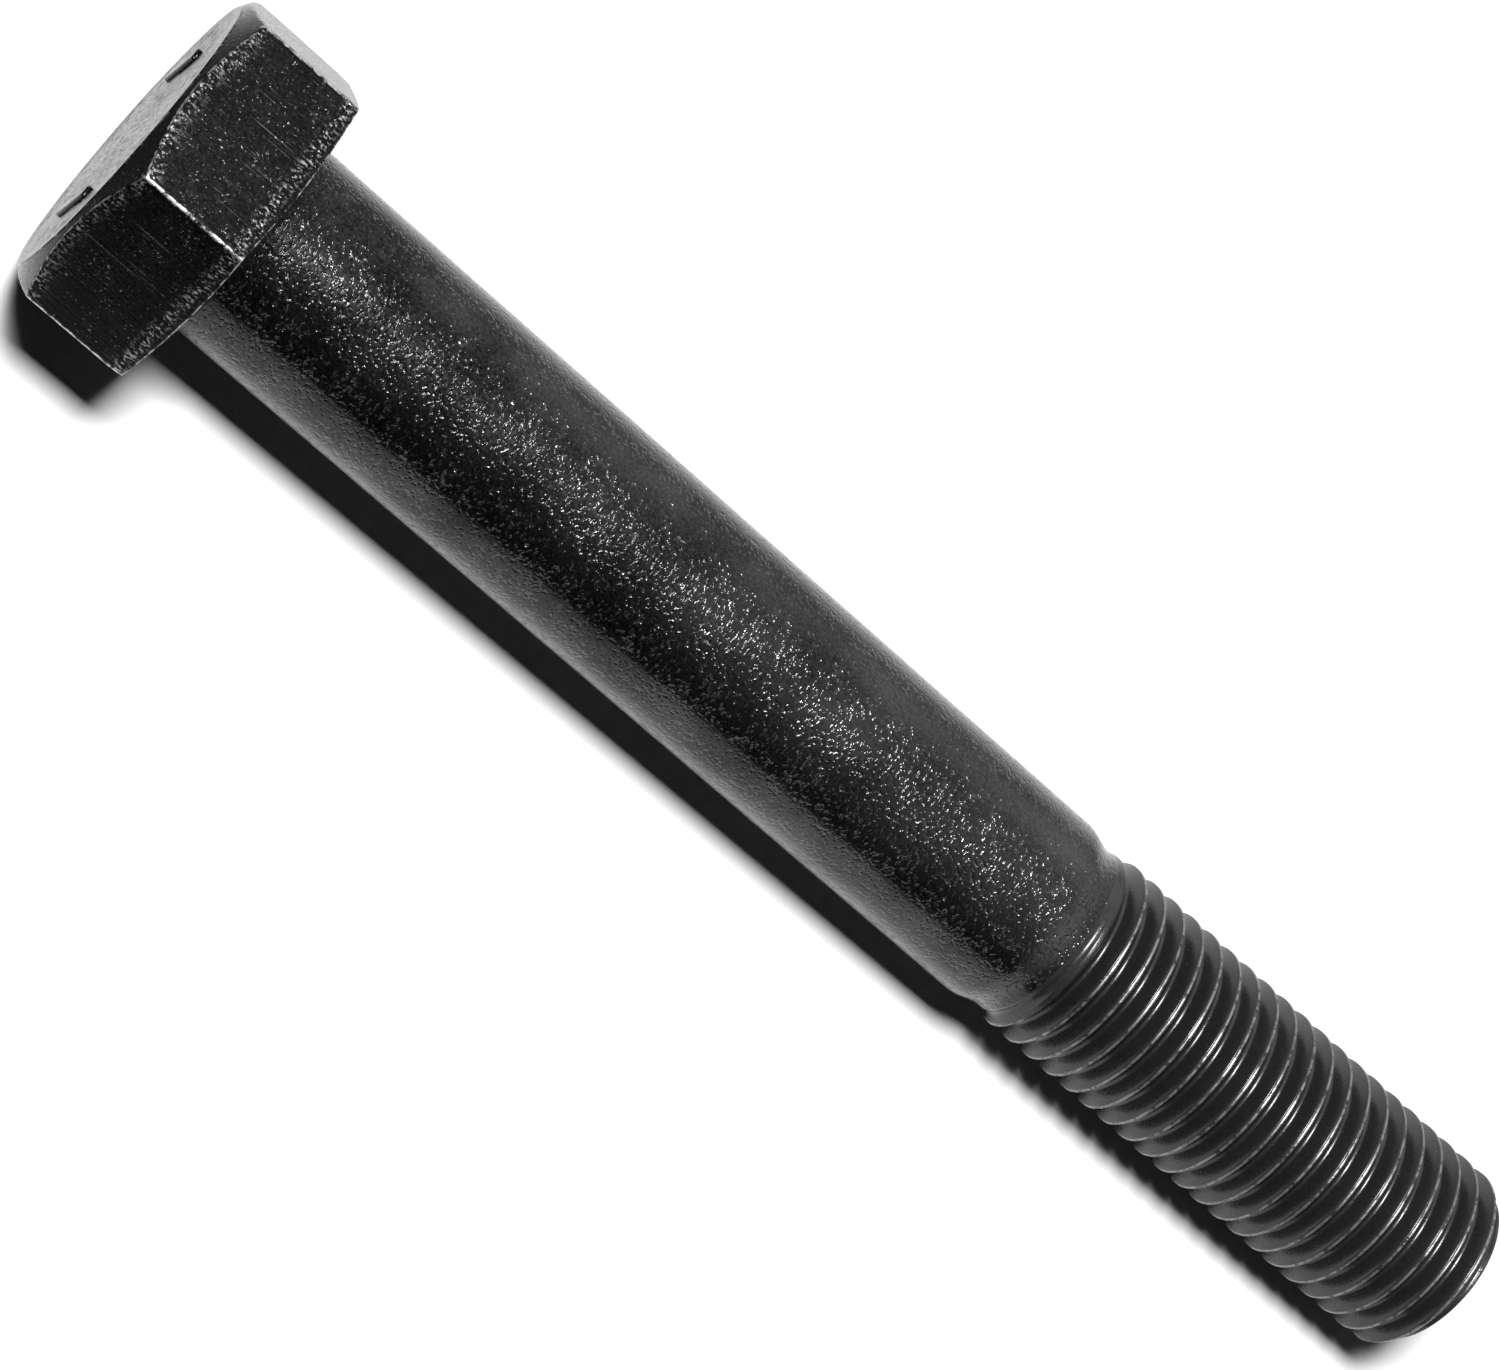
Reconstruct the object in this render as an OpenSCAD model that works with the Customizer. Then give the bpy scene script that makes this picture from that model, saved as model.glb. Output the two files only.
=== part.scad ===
// Hex head bolt with a plain shank and a rolled metric thread.
// The bolt lies along X: head at -X, threaded end at +X, one flat of the hexagon down.
// The origin is the centre of the bearing face, which lies in the YZ plane.
// The bolt is one steel forging. Its three nodes are zones of it that meet face to face.

/* [Head] */
// Width across flats
across_flats = 30; // [18:0.5:60]
// Height of the head
head_h = 12.5; // [8:0.5:30]
// How far the top chamfer's circle lies inside the flats
top_circle_inset = 0.75; // [0.25:0.05:1.5]
// Angle of the top chamfer, measured from the top face
top_chamfer_angle = 30; // [15:1:35]
// How far the edge of the flat bearing face lies inside the flats
bearing_face_inset = 0.9; // [0.3:0.05:1.5]
// Angle of the small chamfer round the bearing face
bearing_chamfer_angle = 10; // [5:1:25]
// Radius of the fillet between bearing face and shank
fillet_r = 0.8; // [0.4:0.1:1.2]

/* [Head marks] */
// Length of each plain raised bar on the top of the head
mark_l = 7; // [3:0.5:10]
// Width of each raised bar
mark_w = 1.2; // [0.6:0.1:2]
// Height of each raised bar
mark_h = 0.3; // [0.1:0.05:0.5]
// Distance of each bar's middle from the axis
mark_offset = 8; // [6:0.5:8.5]

/* [Shank] */
// Length from the bearing face to the tip
bolt_l = 150; // [90:1:300]
// Diameter of the plain shank
shank_d = 20; // [12:0.5:26]
// Length of the smooth taper from the shank down to the neck
taper_l = 3.3; // [2:0.1:5]
// Length of the straight neck before the grooves start
neck_l = 0.3; // [0.1:0.1:3]
// Reduction in diameter from the shank to the neck
neck_drop = 1.44; // [0.8:0.02:2]

/* [Thread] */
// Thread length, counted back from the tip to the first full turn
thread_l = 52; // [30:1:80]
// Pitch
pitch = 2.5; // [1.5:0.25:3]
// How much smaller than the shank the crests are, on the diameter
crest_allowance = 0.12; // [0:0.02:0.4]
// Length over which the grooves fade in from the neck
runout_l = 2.2; // [2:0.1:6]
// How far the end face's edge lies inside the bottom of the thread
end_face_inset = 0.07; // [0:0.01:0.8]
// Angle of the end chamfer, measured from the axis
end_chamfer_angle = 45; // [30:1:60]
// Turn about the axis of the place where the crest line meets the end plane
crest_turn = 21; // [0:1:359]

/* [Hidden] */
shank_r = shank_d / 2;
// The theoretical corner diameter of the hexagon
across_corners = across_flats / cos(30);
// Any radius past the corners, where the chamfer cones may end
past_corners = across_corners / 2 + 1;
neck_r = (shank_d - neck_drop) / 2;

// Places along the axis
full_thread_x = bolt_l - thread_l;
thread_x = full_thread_x - runout_l / 2;
taper_x = thread_x - neck_l - taper_l;

// ISO metric thread form: height of the sharp triangle, then the radii
sharp_h = pitch * cos(30);
crest_r = (shank_d - crest_allowance) / 2;
pitch_r = shank_r - 3 / 8 * sharp_h;
root_arc_r = sharp_h / 6;
root_r = pitch_r - sharp_h / 3;
root_arc_centre_r = root_r + root_arc_r;
// Half the width of the flat crest, from the width of half a pitch at the pitch radius
crest_half = pitch / 4 - (crest_r - pitch_r) * tan(30);
end_face_r = root_r - end_face_inset;

// One pitch of the thread's outline, as [distance along the axis, radius]
profile = concat(
    [[-crest_half, crest_r], [crest_half, crest_r]],
    [for (a = [-60:40:60]) [pitch / 2 + root_arc_r * sin(a), root_arc_centre_r - root_arc_r * cos(a)]]
);
per_turn = len(profile);
columns = 36;
turns = ceil((bolt_l - thread_x) / pitch) + 2;
rows = turns * per_turn;

// 0 before the run-out, 1 on the full thread, smooth in between
function thread_share(x) =
    let (u = (x - full_thread_x) / runout_l + 0.5, v = min(1, max(0, u)))
    v * v * (3 - 2 * v);

// The largest radius that the end chamfer leaves at x
function chamfer_r(x) = end_face_r + (bolt_l - x) * tan(end_chamfer_angle);

// Place along the axis of a row of the helical grid, at a column round the axis
function grid_x(row, column) =
    bolt_l + pitch * (floor(row / per_turn) - turns + 1 + column / columns)
    + profile[row % per_turn][0];

function grid_r(row, x) =
    min(neck_r + thread_share(x) * (profile[row % per_turn][1] - neck_r), chamfer_r(x));

function grid_point(row, column) =
    let (x = min(bolt_l, max(thread_x, grid_x(row, column))), r = grid_r(row, x), a = 360 * column / columns)
    [x, r * cos(a), r * sin(a)];

// A round solid about X from an outline of [radius, distance along the axis]
module turned(outline) {
    rotate([0, 90, 0]) rotate_extrude($fn = 96) polygon(outline);
}

// The six-sided blank, with one flat down
module hexagon_blank() {
    translate([-head_h, 0, 0]) rotate([0, 90, 0]) rotate(30)
        cylinder(d = across_corners, h = head_h, $fn = 6);
}

// The turned envelope that puts the chamfers on the blank
module head_envelope() {
    top_r = across_flats / 2 - top_circle_inset;
    bearing_r = across_flats / 2 - bearing_face_inset;
    turned([
        [0, -head_h],
        [top_r, -head_h],
        [past_corners, -head_h + (past_corners - top_r) * tan(top_chamfer_angle)],
        [past_corners, -(past_corners - bearing_r) * tan(bearing_chamfer_angle)],
        [bearing_r, 0],
        [0, 0]
    ]);
}

// The concave fillet at the root of the shank, with the core inside it
module underhead_fillet() {
    rotate([0, 90, 0]) rotate_extrude($fn = 96) difference() {
        translate([0, -fillet_r]) square([shank_r + fillet_r, 2 * fillet_r]);
        translate([shank_r + fillet_r, fillet_r]) circle(r = fillet_r, $fn = 48);
    }
}

// One plain raised bar, sunk a little into the top face
module head_mark(side) {
    sink = 0.2;
    translate([-head_h - mark_h, side * mark_offset - mark_w / 2, -mark_l / 2])
        cube([mark_h + sink, mark_w, mark_l]);
}

module head() {
    color("dimgray") {
        intersection() {
            hexagon_blank();
            head_envelope();
        }
        underhead_fillet();
        for (side = [-1, 1]) head_mark(side);
    }
}

module shank() {
    steps = 8;
    color("dimgray") turned(concat(
        [[0, fillet_r], [shank_r, fillet_r]],
        [for (i = [0:steps]) let (u = i / steps)
            [shank_r - (shank_r - neck_r) * (1 - cos(180 * u)) / 2, taper_x + taper_l * u]],
        [[neck_r, thread_x], [0, thread_x]]
    ));
}

module thread() {
    // The rows at which each column enters at the neck and leaves at the tip
    first = [for (c = [0:columns - 1]) len([for (r = [0:rows]) if (grid_x(r, c) <= thread_x) 1]) - 1];
    last = [for (c = [0:columns - 1]) len([for (r = [0:rows]) if (grid_x(r, c) < bolt_l) 1])];
    // One turn on, the grid meets itself one pitch further along
    function at(row, column) = column < columns
        ? max(first[column], min(last[column], row)) * columns + column
        : at(row + per_turn, 0);
    points = [for (r = [0:rows]) for (c = [0:columns - 1]) grid_point(r, c)];
    triangles = [for (r = [0:rows - 1]) for (c = [0:columns - 1])
        for (t = [
            [at(r, c), at(r, c + 1), at(r + 1, c)],
            [at(r + 1, c), at(r, c + 1), at(r + 1, c + 1)]
        ]) if (t[0] != t[1] && t[1] != t[2] && t[2] != t[0]) t];
    neck_end = [for (c = [columns - 1:-1:0]) at(0, c)];
    tip_end = [for (c = [0:columns - 1]) at(rows, c)];
    color("dimgray") rotate([crest_turn, 0, 0])
        polyhedron(points = points, faces = concat(triangles, [neck_end, tip_end]), convexity = 10);
}

head();
shank();
thread();
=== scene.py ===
"""Looks of a black hex bolt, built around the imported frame.

The real bolt is one steel forging: a hexagon head, a plain shank and a rolled thread. Each
zone is a piece of its own here, because each was made in its own way and shines in its own way.
The bolt lies along X with its head at -X, and its bearing face is in the plane x = 0.
"""

import logging
import math
from dataclasses import dataclass
from enum import Enum
from typing import Any, Callable

import bmesh
import bpy
from mathutils import Matrix, Vector, noise


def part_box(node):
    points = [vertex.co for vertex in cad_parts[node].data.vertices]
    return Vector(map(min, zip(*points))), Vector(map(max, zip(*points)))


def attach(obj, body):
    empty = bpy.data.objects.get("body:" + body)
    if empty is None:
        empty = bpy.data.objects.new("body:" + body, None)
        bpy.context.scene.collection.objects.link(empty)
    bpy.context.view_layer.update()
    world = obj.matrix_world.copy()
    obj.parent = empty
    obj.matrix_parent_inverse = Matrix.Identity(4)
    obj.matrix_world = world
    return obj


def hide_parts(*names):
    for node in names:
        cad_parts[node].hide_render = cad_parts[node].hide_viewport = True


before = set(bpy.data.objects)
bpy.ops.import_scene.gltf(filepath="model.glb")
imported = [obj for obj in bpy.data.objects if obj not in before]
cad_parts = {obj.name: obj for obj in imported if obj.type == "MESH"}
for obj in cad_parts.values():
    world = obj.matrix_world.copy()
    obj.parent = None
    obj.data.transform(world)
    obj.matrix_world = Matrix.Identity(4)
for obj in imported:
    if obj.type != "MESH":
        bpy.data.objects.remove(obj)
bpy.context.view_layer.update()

MM = 0.001
BODY = "root"
MERGE = 1e-7
LOOP_MERGE = 10 * MERGE
# The crests lie this far inside the shank's radius
CREST_DROP = 0.06 * MM
# The head rests on its lower edge this far in front of the bearing face
EDGE_INSET = 0.16 * MM
X_AXIS = Vector((1, 0, 0))
Tree = bpy.types.NodeTree
Socket = bpy.types.NodeSocket
MAP_RANGE = "ShaderNodeMapRange"
MATH = "ShaderNodeMath"
NOISE = "ShaderNodeTexNoise"
MAPPING = "ShaderNodeMapping"
MIX = "ShaderNodeMix"
WEAR = "wear"
SCUFF = "scuff"
# The values that a noise mostly keeps between
NOISE_LOW = 0.3
NOISE_HIGH = 0.7
# The roughness of a noise's finer layers
FINE_LAYERS = 0.6
# A closed round end steps in to a ring at this share of its radius, and then to its pole
INNER_RING = 0.6
log = logging.getLogger("bolt")


# ------------------------------------------------------------
# Small helpers


def linear(hex_colour: str) -> tuple[float, float, float, float]:
    """Turn an sRGB hex colour into the linear colour that a shader takes.

    Args:
        hex_colour: six hex digits, with or without a leading #.

    Returns:
        Linear red, green, blue and an alpha of 1.
    """
    digits = hex_colour.lstrip("#")
    shares = [int(digits[i:i + 2], 16) / 255 for i in (0, 2, 4)]
    red, green, blue = (s / 12.92 if s <= 0.04045 else ((s + 0.055) / 1.055) ** 2.4 for s in shares)
    return red, green, blue, 1.0


def smooth_step(value: float) -> float:
    """Return 0 below 0, 1 above 1, and a smooth ramp between."""
    share = min(1.0, max(0.0, value))
    return share * share * (3 - 2 * share)


def hump(distance: float, width: float) -> float:
    """Return 1 at no distance, fading as a bell to nearly 0 at twice the width."""
    return math.exp(-((distance / width) ** 2))


def soft_min(a: float, b: float, width: float) -> float:
    """Return the smaller of two radii, with the crease between them rounded.

    Args:
        a: one radius.
        b: the other radius.
        width: how near to each other the two have to be for the rounding to start.

    Returns:
        The blended radius, which is never more than either.
    """
    near = max(width - abs(a - b), 0.0) / width
    return min(a, b) - near * near * width / 4


def add(
    tree: Tree,
    kind: str,
    settings: dict[str | int, Any] | None = None,
    links: dict[str | int, Socket] | None = None,
) -> bpy.types.Node:
    """Add one node with its settings and its incoming links.

    Args:
        tree: the tree that gets the node.
        kind: the node's Blender type.
        settings: values by the name of a property, or by the name or index of an input.
        links: the output that each named or numbered input reads.

    Returns:
        The new node.
    """
    node = tree.nodes.new(kind)
    for key, value in (settings or {}).items():
        if isinstance(key, str) and hasattr(node, key):
            setattr(node, key, value)
        else:
            node.inputs[key].default_value = value
    for key, source in (links or {}).items():
        tree.links.new(source, node.inputs[key])
    return node


def spun(
    outline: list[tuple[float, float]], steps: int, turns: int = 1, lead: float = 0.0
) -> bmesh.types.BMesh:
    """Spin an outline about X, and repeat the turn along X where it has a lead.

    Args:
        outline: points as (distance along X, radius).
        steps: faces round one turn.
        turns: whole turns, each one lead further along X.
        lead: how far one turn moves along X.

    Returns:
        A new bmesh, with its seams and poles merged.
    """
    bm = bmesh.new()
    verts = [bm.verts.new((x, radius, 0)) for x, radius in outline]
    edges = [bm.edges.new(pair) for pair in zip(verts, verts[1:])]
    bmesh.ops.spin(
        bm,
        geom=verts + edges,
        cent=(0, 0, 0),
        axis=X_AXIS,
        dvec=X_AXIS * (lead / steps),
        angle=math.tau,
        steps=steps,
        use_merge=lead == 0,
        use_duplicate=False,
    )
    first_turn = bm.verts[:] + bm.edges[:] + bm.faces[:]
    for turn in range(1, turns):
        copy = bmesh.ops.duplicate(bm, geom=first_turn)["geom"]
        verts = [g for g in copy if isinstance(g, bmesh.types.BMVert)]
        bmesh.ops.translate(bm, vec=X_AXIS * (lead * turn), verts=verts)
    bmesh.ops.remove_doubles(bm, verts=bm.verts, dist=MERGE)
    return bm


def press(bm: bmesh.types.BMesh, radius_at: Callable[[float, float, float], float]) -> None:
    """Move each vertex in or out from the X axis.

    Args:
        bm: the mesh to shape.
        radius_at: gives the new radius from the distance along X, the radius and the angle.
    """
    for vert in bm.verts:
        x, y, z = vert.co
        radius = math.hypot(y, z)
        if radius < MERGE:
            continue
        share = radius_at(x, radius, math.atan2(z, y)) / radius
        vert.co = (x, y * share, z * share)


def close_end(bm: bmesh.types.BMesh, x: float, rings: list[tuple[float, float]]) -> None:
    """Close the open round end at x with rings that step in to the axis.

    Args:
        bm: a mesh whose boundary at x is one loop.
        x: where the loop lies.
        rings: (distance along X, share of the last ring's radius) for each ring, ending at the pole.
    """
    rim = [e for e in bm.edges if e.is_boundary]
    edges = [e for e in rim if all(abs(v.co.x - x) < LOOP_MERGE for v in e.verts)]
    # The rim stays a crisp edge, so that the shading doesn't bend round it
    for edge in edges:
        edge.smooth = False
    for ring_x, share in rings:
        out = bmesh.ops.extrude_edge_only(bm, edges=edges)["geom"]
        verts = [g for g in out if isinstance(g, bmesh.types.BMVert)]
        edges = [g for g in out if isinstance(g, bmesh.types.BMEdge)]
        bmesh.ops.scale(bm, vec=(1, share, share), verts=verts)
        bmesh.ops.translate(bm, vec=(ring_x - verts[0].co.x, 0, 0), verts=verts)
    bmesh.ops.remove_doubles(bm, verts=verts, dist=LOOP_MERGE)


def finished(
    bm: bmesh.types.BMesh, name: str, marks: dict[str, Callable[[Vector], float]] | None = None
) -> bpy.types.Object:
    """Turn a bmesh into a smooth shaded object at the origin.

    Args:
        bm: the mesh, which is freed.
        name: the object's name.
        marks: values to keep on each vertex for the finish to read, by attribute name.

    Returns:
        The new object, linked to the scene.
    """
    bmesh.ops.recalc_face_normals(bm, faces=bm.faces)
    mesh = bpy.data.meshes.new(name)
    bm.to_mesh(mesh)
    bm.free()
    mesh.polygons.foreach_set("use_smooth", [True] * len(mesh.polygons))
    for mark, value_at in (marks or {}).items():
        layer = mesh.attributes.new(mark, "FLOAT", "POINT")
        layer.data.foreach_set("value", [value_at(v.co) for v in mesh.vertices])
    piece = bpy.data.objects.new(name, mesh)
    bpy.context.scene.collection.objects.link(piece)
    return piece


def report(piece: bpy.types.Object) -> None:
    """Log a piece's name and its triangles."""
    triangles = sum(len(p.vertices) - 2 for p in piece.data.polygons)
    log.info("%s: %d triangles", piece.name, triangles)


# ------------------------------------------------------------
# Finishes


class Making(Enum):
    """How a zone of the bolt was made, which sets the way that its lines run."""

    FORGED = "forged"
    DRAWN = "drawn"
    ROLLED = "rolled"


# Whether the lines run along X: the forged and drawn ones do, and the rolled ones run round it
RUNS_ALONG_X = {
    Making.FORGED: True,
    Making.DRAWN: True,
    Making.ROLLED: False,
}


@dataclass(frozen=True)
class BlackOxideSteel:
    """Carbon steel with a hot black oxide finish: a thin dark skin of magnetite with a little oil in it.

    The skin is so thin that the surface below sets the shine: pits and grain break the light into
    glints, and rubbed edges show the bare steel. Real grain and pits are often about 0.02 to 0.1 mm
    wide, which is too fine to show, so they are drawn coarser, at 0.24 to 0.40 mm.
    """

    name: str
    making: Making
    metallic: float
    grazing: float
    oxide: str
    thin_oxide: str
    # The pale oxide: where it is thin in patches, and the painted sheen at the tip end of the ramp along X
    bare_steel: str
    thinning_mm: tuple[float, float]
    # Where along X the oxide's painted ramp runs, from painted shade at the head end to painted sheen
    # towards the tip
    smooth: float
    rough: float
    worn_rough: float
    grain_mm: float
    grain_depth_mm: float
    pit_mm: float
    pit_stretch: float
    pit_depth_mm: float
    pit_floor: float
    pit_land: float
    clump_mm: float
    clumping: float
    line_width_mm: float
    line_length_mm: float
    line_depth_mm: float
    cloud_mm: float
    cloud_depth_mm: float
    speck_above: float
    speck_share: float
    scratch_above: float
    cloud_range: tuple[float, float] = (0.35, 0.68)
    cloud_shift: float = 0.2
    # How far the painted ramp moves the oxide towards its pale colour, at its start and at its end
    thin_range: tuple[float, float] = (0.2, 0.8)
    mottle_shift: float = 0.25
    speck_fade: float = 0.08
    scratch_fade: float = 0.06
    scratch_share: float = 0.18
    patch_scale: float = 3.0
    patch_range: tuple[float, float] = (0.38, 0.62)
    patch_wear: tuple[float, float] = (0.30, 1.05)
    worn_range: tuple[float, float] = (0.30, 0.80)
    worn_share: float = 0.95
    fleck_stretch: float = 1.8
    fleck_range: tuple[float, float] = (0.52, 0.64)
    fleck_share: float = 0.8

    def material(self) -> bpy.types.Material:
        """Build the material.

        Returns:
            A material of this finish.
        """
        material = bpy.data.materials.new(self.name)
        material.use_nodes = True
        tree = material.node_tree
        tree.nodes.clear()
        place = add(tree, "ShaderNodeTexCoord").outputs["Object"]
        clouds = self._noise(tree, place, self.cloud_mm, 3, 0.55)
        grain = self._noise(tree, place, self.grain_mm, 2, FINE_LAYERS)
        holes = self._holes(tree, place)
        edge_of_pit = {1: self.pit_floor, 2: self.pit_land, "interpolation_type": "SMOOTHSTEP"}
        pits = add(tree, MAP_RANGE, edge_of_pit, {0: holes}).outputs[0]
        lines = self._lines(tree, place)
        bare = self._bare(tree, place, holes, lines)
        skin = self._skin(tree, place, clouds, grain)
        painted = {"data_type": "RGBA", 7: linear(self.bare_steel)}
        colour = add(tree, MIX, painted, {0: bare, 6: skin})
        shine = {1: NOISE_LOW, 2: NOISE_HIGH, 3: self.smooth, 4: self.rough}
        skin_roughness = add(tree, MAP_RANGE, shine, {0: grain}).outputs[0]
        worn = {"data_type": "FLOAT", 3: self.worn_rough}
        roughness = add(tree, MIX, worn, {0: bare, 2: skin_roughness})
        shader = add(
            tree, "ShaderNodeBsdfPrincipled",
            {"Metallic": self.metallic, "Specular Tint": (self.grazing, self.grazing, self.grazing, 1)},
            {
                "Base Color": colour.outputs[2],
                "Roughness": roughness.outputs[0],
                "Normal": self._relief(tree, clouds, grain, pits, lines),
            },
        )
        add(tree, "ShaderNodeOutputMaterial", None, {"Surface": shader.outputs[0]})
        return material

    def _noise(self, tree: Tree, place: Socket, size_mm: float, detail: float, roughness: float) -> Socket:
        """Add a noise with features of a real size.

        Args:
            tree: the material's tree.
            place: the coordinates to read.
            size_mm: the size of a feature.
            detail: how many finer layers it has.
            roughness: how strong the finer layers are.

        Returns:
            The noise's value, from 0 to 1.
        """
        settings = {"Scale": 1 / (size_mm * MM), "Detail": detail, "Roughness": roughness}
        return add(tree, NOISE, settings, {"Vector": place}).outputs[0]

    def _holes(self, tree: Tree, place: Socket) -> Socket:
        """Add the value that is highest at the pits, which gather in clumps.

        Args:
            tree: the material's tree.
            place: the coordinates to read.

        Returns:
            The value, from about 0 to 1.
        """
        wide = 1 / self.pit_stretch
        ringed = add(tree, MAPPING, {"Scale": (1.0, wide, wide)}, {"Vector": place}).outputs[0]
        single = self._noise(tree, ringed, self.pit_mm, 1, 0.55)
        clumps = self._noise(tree, place, self.clump_mm, 2, FINE_LAYERS)
        gather = {1: NOISE_LOW, 2: NOISE_HIGH, 3: -self.clumping, 4: self.clumping}
        spread = add(tree, MAP_RANGE, gather, {0: clumps}).outputs[0]
        return add(tree, MATH, {"operation": "ADD"}, {0: single, 1: spread}).outputs[0]

    def _skin(self, tree: Tree, place: Socket, clouds: Socket, grain: Socket) -> Socket:
        """Colour the oxide, which is thinner in patches; it is also ramped paler along X towards the tip, as
        painted shade at the head end and painted sheen at the tip.

        Args:
            tree: the material's tree.
            place: the coordinates to read.
            clouds: the value of the broad unevenness.
            grain: the grain's value.

        Returns:
            The oxide's colour.
        """
        low, high = self.cloud_range
        shift = {1: low, 2: high, 3: -self.cloud_shift, 4: self.cloud_shift}
        patches = add(tree, MAP_RANGE, shift, {0: clouds}).outputs[0]
        x = add(tree, "ShaderNodeSeparateXYZ", None, {0: place}).outputs["X"]
        # Painted shade and sheen: the oxide is ramped from darker at the head end to paler towards the tip,
        # so that the reflections brighten along X
        start, end = self.thinning_mm
        thinning = {1: start * MM, 2: end * MM, 3: self.thin_range[0], 4: self.thin_range[1]}
        along = add(tree, MAP_RANGE, thinning, {0: x}).outputs[0]
        fleck = {1: NOISE_LOW, 2: NOISE_HIGH, 3: -self.mottle_shift, 4: self.mottle_shift}
        mottle = add(tree, MAP_RANGE, fleck, {0: grain}).outputs[0]
        # The paleness adds the thin patches, the painted ramp and the grain's mottle
        thin = add(tree, MATH, {"operation": "ADD"}, {0: patches, 1: along}).outputs[0]
        thin = add(tree, MATH, {"operation": "ADD"}, {0: thin, 1: mottle}).outputs[0]
        oxides = {"data_type": "RGBA", 6: linear(self.oxide), 7: linear(self.thin_oxide)}
        return add(tree, MIX, oxides, {0: thin}).outputs[2]

    def _lines(self, tree: Tree, place: Socket) -> Socket:
        """Add the lines that the making left, stretched the way that the metal ran over the tool.

        Args:
            tree: the material's tree.
            place: the coordinates to read.

        Returns:
            The lines' value, from 0 to 1.
        """
        fine = 1 / (self.line_width_mm * MM)
        long = 1 / (self.line_length_mm * MM)
        along_x, across_x = (long, fine) if RUNS_ALONG_X[self.making] else (fine, long)
        scale = (along_x, across_x, across_x)
        run = add(tree, MAPPING, {"Scale": scale}, {"Vector": place}).outputs[0]
        settings = {"Scale": 1.0, "Detail": 2.0, "Roughness": FINE_LAYERS}
        return add(tree, NOISE, settings, {"Vector": run}).outputs[0]

    def _bare(self, tree: Tree, place: Socket, holes: Socket, lines: Socket) -> Socket:
        """Work out where the skin is rubbed off: worn edges, scuffed bands, scratches and single specks.

        Args:
            tree: the material's tree.
            place: the coordinates to read.
            holes: the value that is highest at the pits.
            lines: the value of the making lines.

        Returns:
            The share of bare steel, from 0 to 1.
        """
        above = {1: self.speck_above, 2: self.speck_above + self.speck_fade, 4: self.speck_share}
        specks = add(tree, MAP_RANGE, above, {0: holes}).outputs[0]
        above = {1: self.scratch_above, 2: self.scratch_above + self.scratch_fade, 4: self.scratch_share}
        scratches = add(tree, MAP_RANGE, above, {0: lines}).outputs[0]
        edge = add(tree, "ShaderNodeAttribute", {"attribute_name": WEAR}).outputs["Fac"]
        blotch = self._noise(tree, place, self.patch_scale * self.pit_mm, 3, 0.7)
        low, high = self.patch_range
        patches = {1: low, 2: high, 3: self.patch_wear[0], 4: self.patch_wear[1]}
        patchy = add(tree, MAP_RANGE, patches, {0: blotch}).outputs[0]
        worn = add(tree, MATH, {"operation": "MULTIPLY"}, {0: edge, 1: patchy}).outputs[0]
        rubbed = {1: self.worn_range[0], 2: self.worn_range[1], 4: self.worn_share}
        worn_edge = add(tree, MAP_RANGE, rubbed, {0: worn}).outputs[0]
        # Flecks of a scuff are longer along X than they are wide
        short = 1 / (self.fleck_stretch * self.pit_mm * MM)
        wide = 1 / (self.pit_mm * MM)
        run = add(tree, MAPPING, {"Scale": (short, wide, wide)}, {"Vector": place}).outputs[0]
        settings = {"Scale": 1.0, "Detail": 2.0, "Roughness": FINE_LAYERS}
        fleck = add(tree, NOISE, settings, {"Vector": run}).outputs[0]
        band = add(tree, "ShaderNodeAttribute", {"attribute_name": SCUFF}).outputs["Fac"]
        struck = {1: self.fleck_range[0], 2: self.fleck_range[1], 4: self.fleck_share}
        raised = add(tree, MAP_RANGE, struck, {0: fleck}).outputs[0]
        scuffs = add(tree, MATH, {"operation": "MULTIPLY"}, {0: band, 1: raised}).outputs[0]
        most = worn_edge
        for other in (scuffs, scratches, specks):
            most = add(tree, MATH, {"operation": "MAXIMUM"}, {0: most, 1: other}).outputs[0]
        return most

    def _relief(self, tree: Tree, clouds: Socket, grain: Socket, pits: Socket, lines: Socket) -> Socket:
        """Stack the broad unevenness, lines, pits and grain as bumps of real depths.

        Args:
            tree: the material's tree.
            clouds: the value of the broad unevenness.
            grain: the grain's value.
            pits: the pits' value.
            lines: the lines' value.

        Returns:
            The bent normal.
        """
        layers = (
            (clouds, self.cloud_depth_mm),
            (lines, self.line_depth_mm),
            (pits, self.pit_depth_mm),
            (grain, self.grain_depth_mm),
        )
        normal = None
        for height, depth_mm in layers:
            links = {"Height": height}
            if normal is not None:
                links["Normal"] = normal
            settings = {"Distance": depth_mm * MM, "Strength": 1.0}
            normal = add(tree, "ShaderNodeBump", settings, links).outputs[0]
        return normal


# Hot forged blank, trimmed along the axis: fine lines run from the top face to the bearing side,
# the faces are satin and almost black, and the edges are rubbed to grey steel
FORGED_HEAD = BlackOxideSteel(
    name="black_oxide_forged_steel",
    making=Making.FORGED,
    metallic=1.0,
    grazing=0.8,
    oxide="#1a1a1b",
    thin_oxide="#252526",
    bare_steel="#b9b9ba",
    thinning_mm=(-13.0, 60.0),
    smooth=0.18,
    rough=0.34,
    worn_rough=0.38,
    grain_mm=0.28,
    grain_depth_mm=0.008,
    pit_mm=0.24,
    pit_stretch=1.0,
    pit_depth_mm=0.030,
    pit_floor=0.80,
    pit_land=0.62,
    clump_mm=2.5,
    clumping=0.05,
    line_width_mm=0.20,
    line_length_mm=9.0,
    line_depth_mm=0.018,
    cloud_mm=5.0,
    cloud_depth_mm=0.05,
    speck_above=0.70,
    speck_share=0.3,
    scratch_above=0.67,
)

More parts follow.
